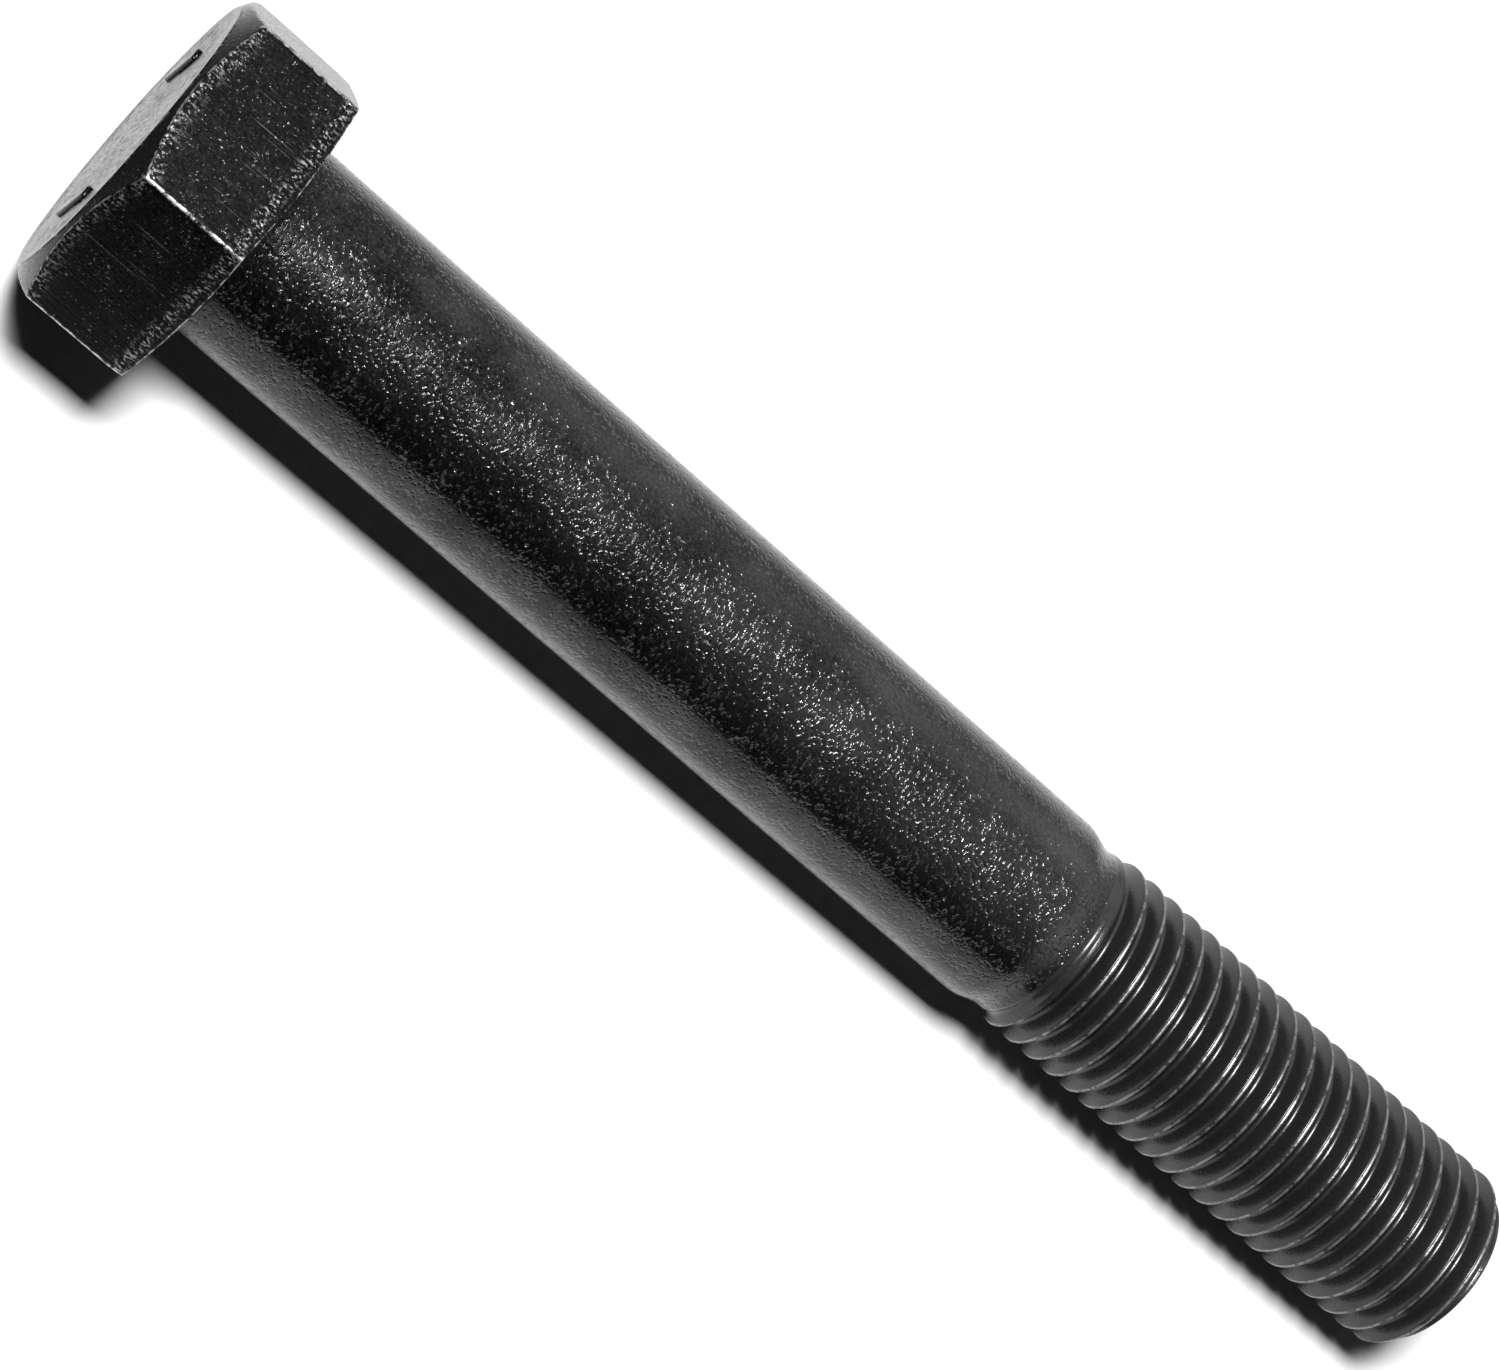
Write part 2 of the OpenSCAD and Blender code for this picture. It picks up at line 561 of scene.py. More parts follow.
# Drawn bar, pickled before it was blackened: a close grain of small pits that glitters under a lamp.
# Each pit is a little wider round the bar than along it
DRAWN_SHANK = BlackOxideSteel(
    name="black_oxide_drawn_steel",
    making=Making.DRAWN,
    metallic=1.0,
    grazing=0.94,
    oxide="#161617",
    thin_oxide="#464647",
    bare_steel="#606062",
    thinning_mm=(-16.0, 108.0),
    smooth=0.16,
    rough=0.26,
    worn_rough=0.34,
    grain_mm=0.30,
    grain_depth_mm=0.012,
    pit_mm=0.34,
    pit_stretch=1.5,
    pit_depth_mm=0.075,
    pit_floor=0.80,
    pit_land=0.50,
    clump_mm=2.0,
    clumping=0.07,
    line_width_mm=0.7,
    line_length_mm=26.0,
    line_depth_mm=0.028,
    cloud_mm=8.0,
    cloud_depth_mm=0.012,
    speck_above=0.62,
    speck_share=0.22,
    scratch_above=0.80,
)

# Rolled between dies and oiled: smooth dark flanks with faint lines along the groove, rubbed crests
ROLLED_THREAD = BlackOxideSteel(
    name="black_oxide_rolled_steel",
    making=Making.ROLLED,
    metallic=0.80,
    grazing=1.0,
    oxide="#303031",
    thin_oxide="#3a3a3b",
    bare_steel="#77777a",
    thinning_mm=(60.0, 150.0),
    smooth=0.22,
    rough=0.30,
    worn_rough=0.36,
    grain_mm=0.40,
    grain_depth_mm=0.006,
    pit_mm=0.35,
    pit_stretch=1.0,
    pit_depth_mm=0.010,
    pit_floor=0.80,
    pit_land=0.64,
    clump_mm=3.0,
    clumping=0.05,
    line_width_mm=0.16,
    line_length_mm=5.0,
    line_depth_mm=0.004,
    cloud_mm=5.0,
    cloud_depth_mm=0.02,
    speck_above=0.76,
    speck_share=0.5,
    scratch_above=0.80,
)


# ------------------------------------------------------------
# Pieces of the bolt


@dataclass
class BoltHead:
    """The forged hexagon head, with the fillet and the first of the shank under it."""

    across_flats: float
    height: float
    end_x: float
    shank_radius: float
    top_circle_inset: float = 0.75 * MM
    top_chamfer: float = math.radians(30)
    bearing_inset: float = 0.9 * MM
    bearing_chamfer: float = math.radians(10)
    corner_width: float = 0.34 * MM
    chamfer_width: float = 0.30 * MM
    roll_off_length: float = 2.3 * MM
    roll_off_drop: float = 0.20 * MM
    waviness: float = 0.03 * MM
    dimple_size: float = 0.75 * MM
    dimple_depth: float = 0.22 * MM
    mark_length: float = 7 * MM
    mark_width: float = 1.2 * MM
    mark_height: float = 0.3 * MM
    mark_sink: float = 0.2 * MM
    mark_offset: float = 8 * MM
    mark_bevel: float = 0.18 * MM
    corner_room: float = 0.4 * MM
    top_rounding: float = 0.22 * MM
    top_rings: int = 36
    rounding_steps: int = 5
    cone_steps: int = 40
    side_steps: int = 32
    bearing_steps: int = 22
    ring_steps: int = 7
    fillet_steps: int = 9
    waviness_size: float = 5 * MM
    dimple_margin: float = 0.4
    dimple_detail: tuple[float, float] = (2.1, 0.6)
    column_draw: float = 0.85
    skin: float = 0.5 * MM
    corner_wear: float = 0.22 * MM
    crease_wear: float = 0.17 * MM
    bearing_wear: float = 0.9 * MM
    rim_wear: float = 0.2 * MM
    crease_share: float = 0.8
    bearing_share: float = 0.7
    rim_share: float = 0.5
    scuff_place: float = 1.3 * MM
    scuff_width: float = 0.50 * MM
    scuff_fade: float = 0.9 * MM
    scuff_share: float = 0.75
    scuff_end: float = 0.1 * MM
    columns: int = 288

    @property
    def flat_radius(self) -> float:
        """Distance from the axis to a flat."""
        return self.across_flats / 2

    @property
    def past_corners(self) -> float:
        """A radius just past the corners."""
        return self.flat_radius / math.cos(math.pi / 6) + self.corner_room

    def cone_radius(self, x: float) -> float:
        """Radius that the top chamfer leaves at x."""
        return self.flat_radius - self.top_circle_inset + (x + self.height) / math.tan(self.top_chamfer)

    def bearing_radius(self, x: float) -> float:
        """Radius that the chamfer round the bearing face leaves at x."""
        return self.flat_radius - self.bearing_inset - x / math.tan(self.bearing_chamfer)

    def outline(self) -> list[tuple[float, float]]:
        """Lay out the turned blank, from the middle of the top face to the start of the shank.

        Returns:
            Points as (distance along X, radius).
        """
        top = -self.height
        top_radius = self.flat_radius - self.top_circle_inset
        past = self.past_corners
        rounding = self.top_rounding
        points = [(top, top_radius * i / self.top_rings) for i in range(self.top_rings - 1)]
        # A small round between the top face and the chamfer
        half_turn = math.pi / 2 - self.top_chamfer
        centre_r = top_radius - rounding * math.tan(half_turn / 2)
        for i in range(self.rounding_steps + 1):
            turn = half_turn * i / self.rounding_steps
            points.append((top + rounding * (1 - math.cos(turn)), centre_r + rounding * math.sin(turn)))
        # The chamfer, out past the corners
        cone_end = top + (past - top_radius) * math.tan(self.top_chamfer)
        first_x, first_r = points[-1]
        n = self.cone_steps
        for i in range(1, n + 1):
            points.append((first_x + (cone_end - first_x) * i / n, first_r + (past - first_r) * i / n))
        # The side, and the chamfer round the bearing face
        bearing_r = self.flat_radius - self.bearing_inset
        bearing_start = -(past - bearing_r) * math.tan(self.bearing_chamfer)
        straight = bearing_start - cone_end
        n = self.side_steps
        points += [(cone_end + straight * i / n, past) for i in range(1, n)]
        n = self.bearing_steps
        points += [(bearing_start * (1 - i / n), past + (bearing_r - past) * i / n) for i in range(n + 1)]
        # The bearing face and the fillet
        fillet = self.end_x
        root = self.shank_radius + fillet
        n = self.ring_steps
        points += [(0, bearing_r + (root - bearing_r) * i / n) for i in range(1, n)]
        for i in range(self.fillet_steps + 1):
            turn = math.pi / 2 * i / self.fillet_steps
            points.append((fillet * (1 - math.cos(turn)), root - fillet * math.sin(turn)))
        return points

    def corner_turn(self, angle: float) -> float:
        """Signed angle from the nearest corner, when one flat faces down."""
        return (angle + math.pi / 6) % (math.pi / 3) - math.pi / 6

    def hexagon_radius(self, angle: float) -> float:
        """Radius of the hexagon in a direction, with its corners rounded.

        Args:
            angle: direction round X, from +Y towards +Z.

        Returns:
            The distance from the axis.
        """
        turn = self.corner_turn(angle)
        near = self.flat_radius / math.cos(math.pi / 6 - turn)
        far = self.flat_radius / math.cos(math.pi / 6 + turn)
        return soft_min(near, far, self.corner_width)

    def pressed(self, x: float, radius: float, angle: float) -> float:
        """Press a point of the turned blank to the hexagon.

        Args:
            x: distance along X.
            radius: the turned radius.
            angle: direction round X.

        Returns:
            The pressed radius.
        """
        flat = self.hexagon_radius(angle)
        if radius < self.flat_radius - self.bearing_inset - MM or x > 0:
            return radius
        place = Vector((x, flat * math.cos(angle), flat * math.sin(angle))) / self.waviness_size
        flat += self.waviness * (noise.noise(place) - 1) / 2
        late = max(0.0, (x + self.roll_off_length) / self.roll_off_length)
        flat -= self.roll_off_drop * late * late
        if x < -self.height / 2:
            return soft_min(radius, flat, self.chamfer_width)
        return soft_min(radius, flat, self.chamfer_width / 2)

    def dimple_at(self, co: Vector) -> float:
        """How far the forging scale has pitted the top face.

        Args:
            co: the point.

        Returns:
            The depth, which is 0 off the top face.
        """
        if co.x > -self.height + MERGE:
            return 0.0
        from_rim = self.flat_radius - self.top_circle_inset - math.hypot(co.y, co.z)
        inside = smooth_step(from_rim / MM - self.dimple_margin)
        place = Vector((co.y, co.z, 0)) / self.dimple_size
        finer, share = self.dimple_detail
        rough = noise.noise(place) + share * noise.noise(place * finer)
        most = 1 + share
        return inside * self.dimple_depth * (most - rough) / (2 * most)

    def wear_at(self, co: Vector) -> float:
        """How worn a point is: corners and creases most, broad faces not at all.

        Args:
            co: the point.

        Returns:
            The wear, from 0 to 1.
        """
        radius = math.hypot(co.y, co.z)
        if radius < self.flat_radius - self.bearing_inset - MM:
            return 0.0
        angle = math.atan2(co.z, co.y)
        flat = self.hexagon_radius(angle)
        from_corner = abs(self.corner_turn(angle)) * radius
        corner = hump(from_corner, self.corner_wear) if radius > flat - self.skin else 0.0
        crease = hump(self.cone_radius(co.x) - flat, self.crease_wear)
        bearing = hump(self.bearing_radius(co.x) - flat, self.bearing_wear)
        rim = hump(radius - self.flat_radius + self.top_circle_inset, self.rim_wear)
        rim *= self.rim_share if co.x < -self.height + self.rim_wear else 0.0
        return max(corner, self.crease_share * crease, self.bearing_share * bearing, rim)

    def scuff_at(self, co: Vector) -> float:
        """How much a point lies in the scuffed bands: one near the bearing side, one under the chamfer.

        Args:
            co: the point.

        Returns:
            The share of the scuffing, from 0 to 1.
        """
        radius = math.hypot(co.y, co.z)
        angle = math.atan2(co.z, co.y)
        flat = self.hexagon_radius(angle)
        if radius < flat - self.skin or co.x > -self.scuff_end:
            return 0.0
        near_bearing = hump(co.x + self.scuff_place, self.scuff_width)
        below_crease = (self.cone_radius(co.x) - flat) * math.tan(self.top_chamfer)
        near_chamfer = hump(below_crease, self.scuff_fade) if below_crease > 0 else 0.0
        return max(near_bearing, self.scuff_share * near_chamfer)

    def forged(self) -> bpy.types.Object:
        """Build the head.

        Returns:
            The head as one closed piece.
        """
        bm = spun(self.outline(), self.columns)
        # Draw the columns together at the corners, where the surface turns fast
        for vert in bm.verts:
            x, y, z = vert.co
            radius = math.hypot(y, z)
            share = self.column_draw * smooth_step((radius - self.shank_radius - MM) / (2 * MM))
            if share == 0 or x > 0:
                continue
            angle = math.atan2(z, y)
            angle -= share * math.sin(6 * self.corner_turn(angle)) / 6
            vert.co = (x, radius * math.cos(angle), radius * math.sin(angle))
        press(bm, self.pressed)
        for vert in bm.verts:
            vert.co.x += self.dimple_at(vert.co)
        close_end(bm, self.end_x, [(self.end_x, INNER_RING), (self.end_x, 0.0)])
        return finished(bm, "bolt_head", {WEAR: self.wear_at, SCUFF: self.scuff_at})

    def mark(self, name: str, side: int) -> bpy.types.Object:
        """Build one plain raised bar on the top face.

        Args:
            name: the object's name.
            side: -1 or 1, for the side of the axis that it is on.

        Returns:
            The bar, sunk a little into the face.
        """
        bm = bmesh.new()
        bmesh.ops.create_cube(bm, size=1)
        depth = self.mark_height + self.mark_sink
        bmesh.ops.scale(bm, vec=(depth, self.mark_width, self.mark_length), verts=bm.verts)
        middle = -self.height - self.mark_height + depth / 2
        bmesh.ops.translate(bm, vec=(middle, side * self.mark_offset, 0), verts=bm.verts)
        bmesh.ops.bevel(
            bm,
            geom=list(bm.edges),
            offset=self.mark_bevel,
            offset_type="OFFSET",
            affect="EDGES",
            segments=3,
            profile=0.5,
            material=-1,
        )
        return finished(bm, name)

    def build(self, finish: BlackOxideSteel) -> list[bpy.types.Object]:
        """Build the head and its marks and dress them.

        Args:
            finish: what they are made of.

        Returns:
            The pieces.
        """
        head = self.forged()
        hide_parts("head")
        marks = [self.mark("head_mark_left", -1), self.mark("head_mark_right", 1)]
        material = finish.material()
        for piece in (head, *marks):
            piece.data.materials.append(material)
        return [head, *marks]


@dataclass
class BoltShank:
    """The plain shank, with the smooth taper down to the neck before the thread."""

    start_x: float
    end_x: float
    radius: float
    neck_drop: float = 0.72 * MM
    neck_length: float = 0.3 * MM
    taper_length: float = 3.3 * MM
    waviness: float = 0.015 * MM
    wave_length: float = 18 * MM
    wave_turns: float = 1.4
    wave_fade: float = 4 * MM
    straight_steps: int = 60
    taper_steps: int = 16
    columns: int = 192

    def outline(self) -> list[tuple[float, float]]:
        """Lay out the shank from the fillet to the neck.

        Returns:
            Points as (distance along X, radius).
        """
        taper_x = self.end_x - self.neck_length - self.taper_length
        straight = taper_x - self.start_x
        n = self.straight_steps
        points = [(self.start_x + straight * i / n, self.radius) for i in range(n)]
        for i in range(self.taper_steps + 1):
            share = i / self.taper_steps
            drop = self.neck_drop * (1 - math.cos(math.pi * share)) / 2
            points.append((taper_x + self.taper_length * share, self.radius - drop))
        points.append((self.end_x, self.radius - self.neck_drop))
        return points

    def waved(self, x: float, radius: float, angle: float) -> float:
        """Add the slight waviness of a drawn bar, which dies out at both ends.

        Args:
            x: distance along X.
            radius: the even radius.
            angle: direction round X.

        Returns:
            The uneven radius.
        """
        from_start = smooth_step((x - self.start_x) / self.wave_fade)
        from_end = smooth_step((self.end_x - x) / self.wave_fade)
        share = from_start * from_end
        turns = self.wave_turns
        place = Vector((x / self.wave_length, math.cos(angle) * turns, math.sin(angle) * turns))
        return radius + share * self.waviness * (noise.noise(place) - 1)

    def build(self, finish: BlackOxideSteel) -> list[bpy.types.Object]:
        """Build the shank and dress it.

        Args:
            finish: what it is made of.

        Returns:
            The piece, in a list.
        """
        bm = spun(self.outline(), self.columns)
        press(bm, self.waved)
        close_end(bm, self.start_x, [(self.start_x, INNER_RING), (self.start_x, 0.0)])
        close_end(bm, self.end_x, [(self.end_x, INNER_RING), (self.end_x, 0.0)])
        shank = finished(bm, "bolt_shank")
        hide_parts("shank")
        shank.data.materials.append(finish.material())
        return [shank]


@dataclass
class BoltThread:
    """The rolled metric thread, from the neck to the rolled end."""

    start_x: float
    end_x: float
    crest_radius: float
    shank_radius: float
    pitch: float = 2.5 * MM
    thread_length: float = 52 * MM
    neck_radius: float = 9.28 * MM
    runout: float = 2.2 * MM
    end_inset: float = 0.07 * MM
    end_chamfer: float = math.radians(45)
    crest_turn: float = math.radians(21)
    crest_rounding: float = 0.13 * MM
    seam_depth: float = 0.052 * MM
    seam: tuple[tuple[float, float], ...] = (
        (-0.09 * MM, 0.0), (-0.06 * MM, 0.4), (-0.04 * MM, 1.0), (-0.01 * MM, 0.95),
        (0.04 * MM, 0.52), (0.09 * MM, 0.12), (0.12 * MM, 0.0),
    )
    wear_middle: float = 0.06 * MM
    wear_half: float = 0.15 * MM
    wear_fade: float = 0.08 * MM
    wear_depth: float = 0.16 * MM
    wear_depth_fade: float = 0.06 * MM
    unevenness: float = 0.03 * MM
    uneven_size: tuple[float, float] = (1.2 * MM, 2.2 * MM)
    chamfer_width: float = 0.30 * MM
    dish_depth: float = 0.25 * MM
    lip_depth: float = 0.06 * MM
    root_steps: int = 5
    flank_steps: int = 4
    round_steps: int = 5
    columns: int = 96

    @property
    def sharp_height(self) -> float:
        """Height of the sharp triangle of the thread form."""
        return self.pitch * math.cos(math.pi / 6)

    @property
    def pitch_radius(self) -> float:
        """Half the pitch diameter."""
        return self.shank_radius - 3 / 8 * self.sharp_height

    @property
    def root_radius(self) -> float:
        """Distance from the axis to the bottom of the groove."""
        return self.pitch_radius - self.sharp_height / 3

    @property
    def crest_half(self) -> float:
        """Half the width of the crest."""
        return self.pitch / 4 - (self.crest_radius - self.pitch_radius) * math.tan(math.pi / 6)

    def outline(self) -> list[tuple[float, float]]:
        """Lay out one pitch, from the bottom of one groove over the crest to the next.

        Returns:
            Points as (distance along X from the crest, radius).
        """
        arc = self.sharp_height / 6
        half = []
        for i in range(self.root_steps + 1):
            turn = math.pi / 3 * i / self.root_steps
            half.append((arc * math.sin(turn), self.root_radius + arc * (1 - math.cos(turn))))
        foot_x, foot_r = half[-1]
        # The flank runs straight up to the small round at the crest's edge
        middle = self.pitch / 2
        edge_x = middle - self.crest_half
        rounding = self.crest_rounding
        set_back = rounding * math.tan(math.pi / 6)
        top_x = edge_x - set_back * math.cos(math.pi / 3)
        top_r = self.crest_radius - set_back * math.sin(math.pi / 3)
        n = self.flank_steps
        for i in range(1, n):
            half.append((foot_x + (top_x - foot_x) * i / n, foot_r + (top_r - foot_r) * i / n))
        for i in range(self.round_steps + 1):
            turn = math.pi / 3 * (1 - i / self.round_steps)
            x = edge_x + set_back - rounding * math.sin(turn)
            half.append((x, self.crest_radius - rounding * (1 - math.cos(turn))))
        left = [(x - middle, radius) for x, radius in half]
        # The metal of the two lips doesn't quite meet in the middle of the crest
        seam = [(x, self.crest_radius - self.seam_depth * share) for x, share in self.seam]
        return left + seam + [(-x, radius) for x, radius in reversed(left)]

    def rolled(self, x: float, radius: float, angle: float) -> float:
        """Fade the groove in from the neck, chamfer the end and make the crest a little uneven.

        Args:
            x: distance along X.
            radius: the full thread's radius.
            angle: direction round X.

        Returns:
            The finished radius.
        """
        full_x = self.end_x - self.thread_length
        share = smooth_step((x - full_x) / self.runout + 0.5)
        along, round_x = self.uneven_size
        around = radius / round_x
        place = Vector((x / along, around * math.cos(angle), around * math.sin(angle)))
        crest_share = smooth_step((radius - self.pitch_radius) / (self.crest_radius - self.pitch_radius))
        radius -= self.unevenness * crest_share * (1 - noise.noise(place))
        radius = self.neck_radius + share * (radius - self.neck_radius)
        end_radius = self.root_radius - self.end_inset + (self.end_x - x) * math.tan(self.end_chamfer)
        return soft_min(radius, end_radius, self.chamfer_width)

    def wear_at(self, co: Vector) -> float:
        """How worn a point is, which is most along one side of the crest.

        Args:
            co: the point.

        Returns:
            The wear, from 0 to 1.
        """
        radius = math.hypot(co.y, co.z)
        turn = (math.atan2(co.z, co.y) - self.crest_turn) / math.tau
        from_crest = (co.x - self.end_x - self.pitch * (turn - 0.5)) % self.pitch - self.pitch / 2
        across = (self.wear_half - abs(from_crest - self.wear_middle)) / self.wear_fade
        high = (radius - self.crest_radius + self.wear_depth) / self.wear_depth_fade
        return smooth_step(across + 0.5) * smooth_step(high)

    def build(self, finish: BlackOxideSteel) -> list[bpy.types.Object]:
        """Build the thread and dress it.

        Args:
            finish: what it is made of.

        Returns:
            The piece, in a list.
        """
        turns = math.ceil((self.end_x - self.start_x) / self.pitch) + 2
        bm = spun(self.outline(), self.columns, turns, self.pitch)
        # The crest meets the end's plane at crest_turn
        shift = self.end_x - (turns - 1) * self.pitch
        bmesh.ops.translate(bm, vec=(shift, 0, 0), verts=bm.verts)
        bmesh.ops.rotate(bm, cent=(0, 0, 0), matrix=Matrix.Rotation(self.crest_turn, 3, "X"), verts=bm.verts)
        press(bm, self.rolled)
        for x, outwards in ((self.start_x, -1), (self.end_x, 1)):
            bmesh.ops.bisect_plane(
                bm,
                geom=bm.verts[:] + bm.edges[:] + bm.faces[:],
                plane_co=(x, 0, 0),
                plane_no=(outwards, 0, 0),
                clear_outer=True,
            )
        bmesh.ops.remove_doubles(bm, verts=bm.verts, dist=LOOP_MERGE)
        close_end(bm, self.start_x, [(self.start_x, INNER_RING), (self.start_x, 0.0)])
        # A narrow flat rim, then the shallow dish that rolling leaves
        end = self.end_x
        lip = end - self.lip_depth
        dish = end - self.dish_depth
        close_end(bm, end, [(end, 0.97), (lip, 0.975), (dish, 0.9), (dish, 0.5), (dish, 0)])
        thread = finished(bm, "bolt_thread", {WEAR: self.wear_at})
        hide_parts("thread")
        thread.data.materials.append(finish.material())
        return [thread]


# ------------------------------------------------------------
# The studio


@dataclass
class Studio:
    """A pale floor, soft lights and the camera."""

    head_edge: Vector
    tip_edge: Vector
    bolt_length: float
    floor_side: float = 6.0
    floor_hex: str = "#d8d8d8"
    card_half: tuple[float, float] = (0.195, 0.12)
    card_start: float = -30 * MM
    lamp_place: tuple[float, float, float] = (-0.10, -0.020, 0.56)
    lamp_size: tuple[float, float] = (0.15, 0.14)
    lamp_radiance: float = 125.0
    room_dark: float = 0.06
    room_pale: float = 0.85
    room_end: float = 0.35
    strip_gain: float = 1.9
    room_seen: float = 0.9
    room_fill: float = 0.008
    camera_azimuth: float = math.radians(36.587)
    camera_elevation: float = math.radians(61.272)
    camera_roll: float = math.radians(74.051)
    camera_distance: float = 353.33 * MM
    aim_share: float = 0.4023
    aim_side: float = -0.73 * MM
    aim_down: float = -0.32 * MM
    lens: float = 94.898
    sensor: float = 36.0
    near_clip: float = 10 * MM
    floor_drop: float = 0.05 * MM
    lamp_aim: tuple[float, float, float] = (0.03, 0.0, 0.0)
    behind_range: tuple[float, float] = (-0.95, -0.05)
    rise_range: tuple[float, float] = (0.0, 0.40)
    fall_range: tuple[float, float] = (0.45, 0.85)
    end_range: tuple[float, float] = (-1.0, -0.4)

    def sheet(
        self, name: str, half: tuple[float, float], middle: Vector, material: bpy.types.Material
    ) -> bpy.types.Object:
        """Lay one flat sheet on the slope that touches the head and the tip.

        Args:
            name: the sheet's name.
            half: half its length along X and half its width along Y.
            middle: where its middle is, before it is tilted about the head's lower edge.
            material: what it is made of.

        Returns:
            The sheet.
        """
        tilt = math.atan2(self.tip_edge.z - self.head_edge.z, self.tip_edge.x - self.head_edge.x)
        bm = bmesh.new()
        bmesh.ops.create_grid(bm, x_segments=1, y_segments=1, size=1)
        bmesh.ops.scale(bm, vec=(half[0], half[1], 1), verts=bm.verts)
        bmesh.ops.translate(bm, vec=middle, verts=bm.verts)
        bmesh.ops.rotate(bm, cent=(0, 0, 0), matrix=Matrix.Rotation(-tilt, 3, "Y"), verts=bm.verts)
        bmesh.ops.translate(bm, vec=self.head_edge, verts=bm.verts)
        sheet = finished(bm, name)
        sheet.data.materials.append(material)
        return sheet

    def floor(self) -> None:
        """Lay a white card under the bolt, on a wide floor of the same white that reflections don't show."""
        material = bpy.data.materials.new("white_card")
        material.use_nodes = True
        shader = material.node_tree.nodes["Principled BSDF"]
        shader.inputs["Base Color"].default_value = linear(self.floor_hex)
        shader.inputs["Roughness"].default_value = 0.9
        shader.inputs["Specular IOR Level"].default_value = 0.0
        self.sheet("card", self.card_half, Vector((self.card_start + self.card_half[0], 0, 0)), material)
        half = self.floor_side / 2
        wide = self.sheet("floor", (half, half), Vector((0, 0, -self.floor_drop)), material)
        wide.visible_glossy = False

    def lamp(self) -> None:
        """Hang the one compact soft box, above and a little beyond the head."""
        light = bpy.data.lights.new("soft_box", "AREA")
        light.shape = "RECTANGLE"
        light.size, light.size_y = self.lamp_size
        # A lamp's face sends its power out over its area and a half sphere of cosines
        light.energy = self.lamp_radiance * math.pi * light.size * light.size_y
        lamp = bpy.data.objects.new("soft_box", light)
        bpy.context.scene.collection.objects.link(lamp)
        place = Vector(self.lamp_place)
        back = (place - Vector(self.lamp_aim)).normalized()
        side = (X_AXIS - back * X_AXIS.dot(back)).normalized()
        up = back.cross(side)
        lamp.matrix_world = Matrix.Translation(place) @ Matrix((side, up, back)).transposed().to_4x4()

    def surroundings(self) -> None:
        """Make the room: dark on the viewer's side, pale behind the bolt and wherever it is seen.

        It hardly lights the card, so that the bolt's shadow stays deep.
        """
        world = bpy.data.worlds.new("studio_room")
        bpy.context.scene.world = world
        world.use_nodes = True
        tree = world.node_tree
        tree.nodes.clear()
        direction = add(tree, "ShaderNodeTexCoord").outputs["Generated"]
        parts = add(tree, "ShaderNodeSeparateXYZ", None, {0: direction}).outputs
        # For each direction: the span that it fades over, and the brightness before and after it
        fades = (
            ("Z", self.rise_range, (1.0, self.strip_gain), "SMOOTHSTEP"),
            ("Z", self.fall_range, (1.0, 1 / self.strip_gain), "SMOOTHSTEP"),
            ("Y", self.behind_range, (self.room_dark, self.room_pale), "SMOOTHSTEP"),
            ("X", self.end_range, (self.room_end, 1.0), "LINEAR"),
        )
        room = None
        for axis, (low, high), (before, after), kind in fades:
            settings = {1: low, 2: high, 3: before, 4: after, "interpolation_type": kind}
            fade = add(tree, MAP_RANGE, settings, {0: parts[axis]}).outputs[0]
            if room is not None:
                fade = add(tree, MATH, {"operation": "MULTIPLY"}, {0: room, 1: fade}).outputs[0]
            room = fade
        path = add(tree, "ShaderNodeLightPath")
        dim = {"data_type": "FLOAT", 3: self.room_fill}
        fill = add(tree, MIX, dim, {0: path.outputs["Is Diffuse Ray"], 2: room}).outputs[0]
        seen = {"data_type": "FLOAT", 3: self.room_seen}
        strength = add(tree, MIX, seen, {0: path.outputs["Is Camera Ray"], 2: fill}).outputs[0]
        glow = add(tree, "ShaderNodeBackground", {"Color": (1, 1, 1, 1)}, {"Strength": strength})
        add(tree, "ShaderNodeOutputWorld", None, {"Surface": glow.outputs[0]})

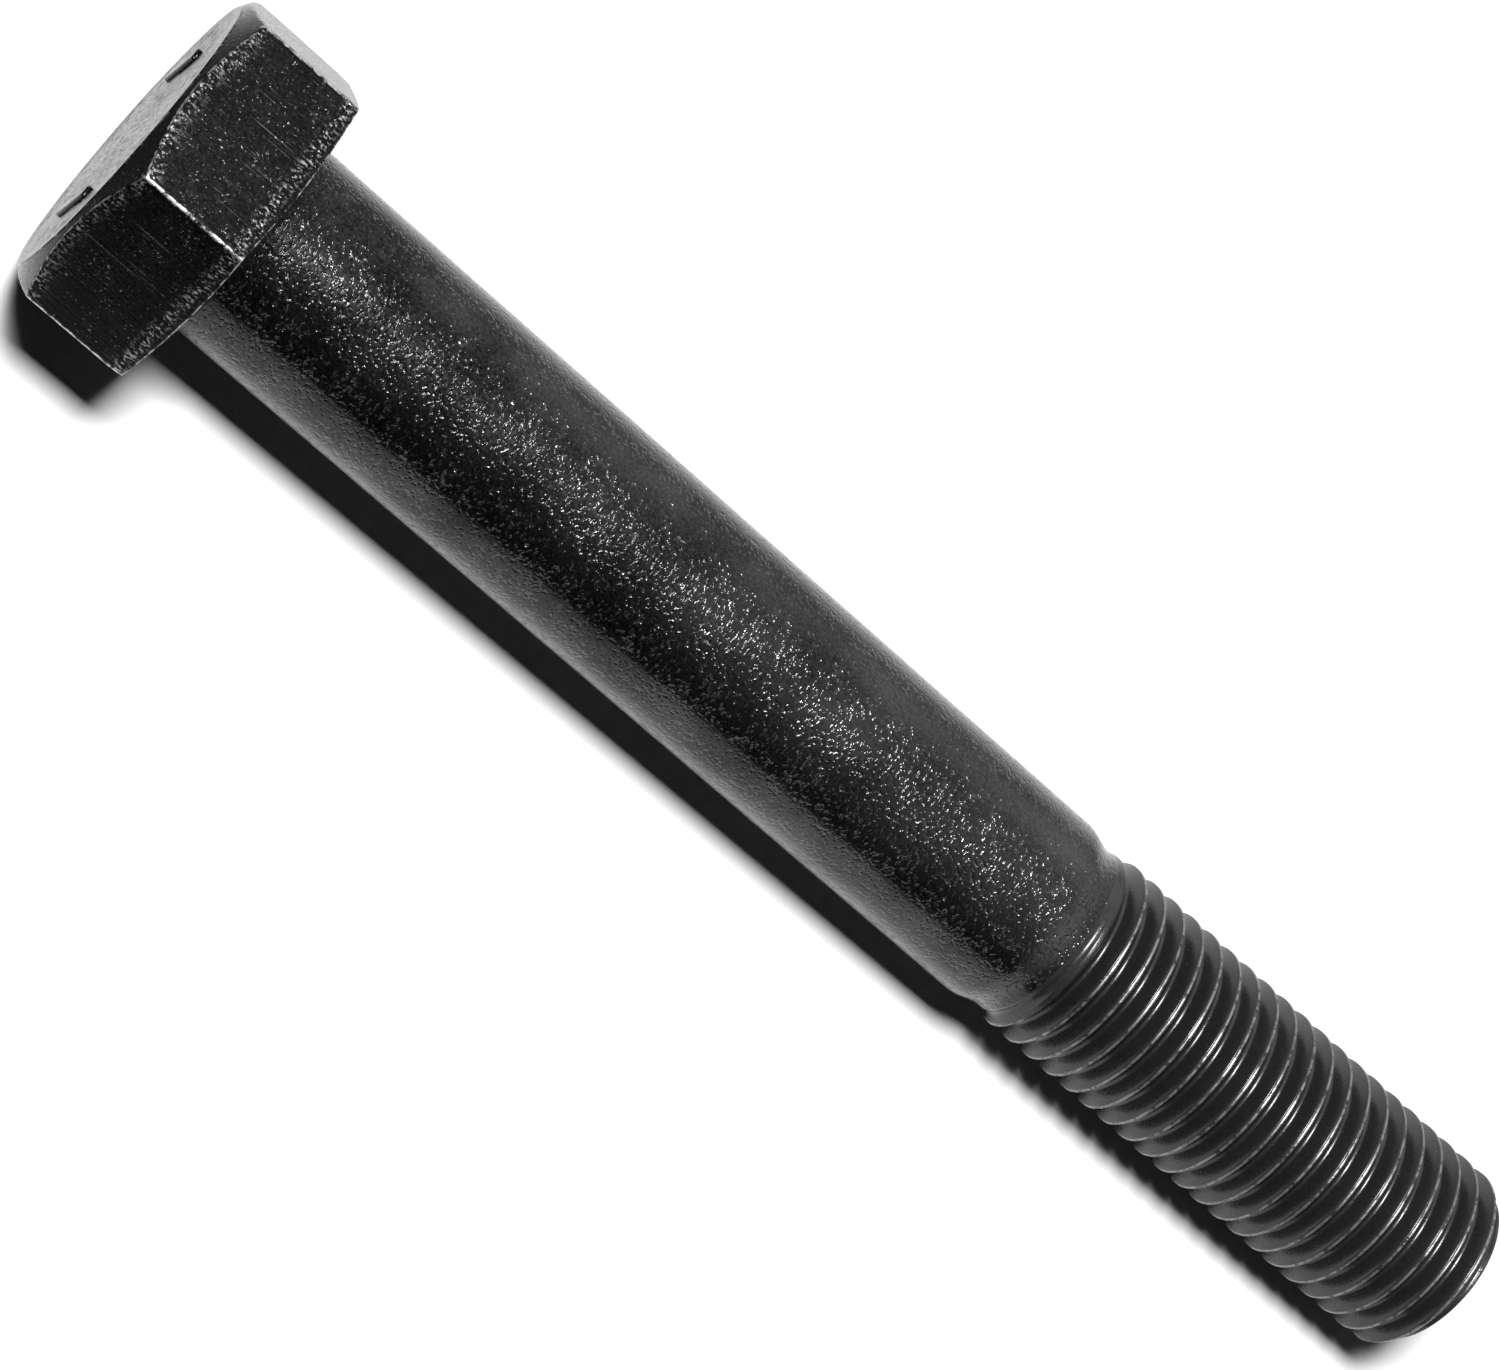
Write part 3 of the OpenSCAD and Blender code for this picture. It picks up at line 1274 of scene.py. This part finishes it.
    def camera(self) -> None:
        """Set the camera over the bolt, turned so that the head is at the top left."""
        azimuth, elevation = self.camera_azimuth, self.camera_elevation
        forward = Vector((
            math.sin(azimuth) * math.cos(elevation),
            math.cos(azimuth) * math.cos(elevation),
            -math.sin(elevation),
        ))
        level_up = (Vector((0, 0, 1)) - forward * forward.z).normalized()
        right = forward.cross(level_up)
        turn = Matrix.Rotation(-self.camera_roll, 3, forward)
        up = turn @ level_up
        right = turn @ right
        aim = Vector((self.bolt_length * self.aim_share, self.aim_side, self.aim_down))
        data = bpy.data.cameras.new("camera")
        data.lens = self.lens
        data.sensor_width = self.sensor
        data.sensor_fit = "HORIZONTAL"
        data.clip_start = self.near_clip
        camera = bpy.data.objects.new("camera", data)
        bpy.context.scene.collection.objects.link(camera)
        place = aim - forward * self.camera_distance
        camera.matrix_world = Matrix.Translation(place) @ Matrix((right, up, -forward)).transposed().to_4x4()
        bpy.context.scene.camera = camera

    def build(self) -> None:
        """Set up the floor, the lights, the room and the camera."""
        self.floor()
        self.lamp()
        self.surroundings()
        self.camera()
        bpy.context.scene.view_settings.view_transform = "Standard"


def main() -> None:
    """Build the bolt and its studio, and report each piece."""
    logging.basicConfig(level=logging.INFO, format="%(message)s")
    head_low, head_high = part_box("head")
    shank_low, shank_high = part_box("shank")
    thread_low, thread_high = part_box("thread")
    head = BoltHead(
        across_flats=head_high.z - head_low.z,
        height=-head_low.x - BoltHead.mark_height,
        end_x=head_high.x,
        shank_radius=shank_high.z,
    )
    shank = BoltShank(start_x=shank_low.x, end_x=shank_high.x, radius=shank_high.z)
    thread = BoltThread(
        start_x=thread_low.x,
        end_x=thread_high.x,
        crest_radius=shank_high.z - CREST_DROP,
        shank_radius=shank_high.z,
    )
    pieces = head.build(FORGED_HEAD) + shank.build(DRAWN_SHANK) + thread.build(ROLLED_THREAD)
    for piece in pieces:
        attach(piece, BODY)
        report(piece)
    studio = Studio(
        head_edge=Vector((-EDGE_INSET, 0, head_low.z)),
        tip_edge=Vector((thread_high.x - thread.pitch, 0, thread_low.z)),
        bolt_length=thread_high.x,
    )
    studio.build()


if __name__ == "__main__":
    main()
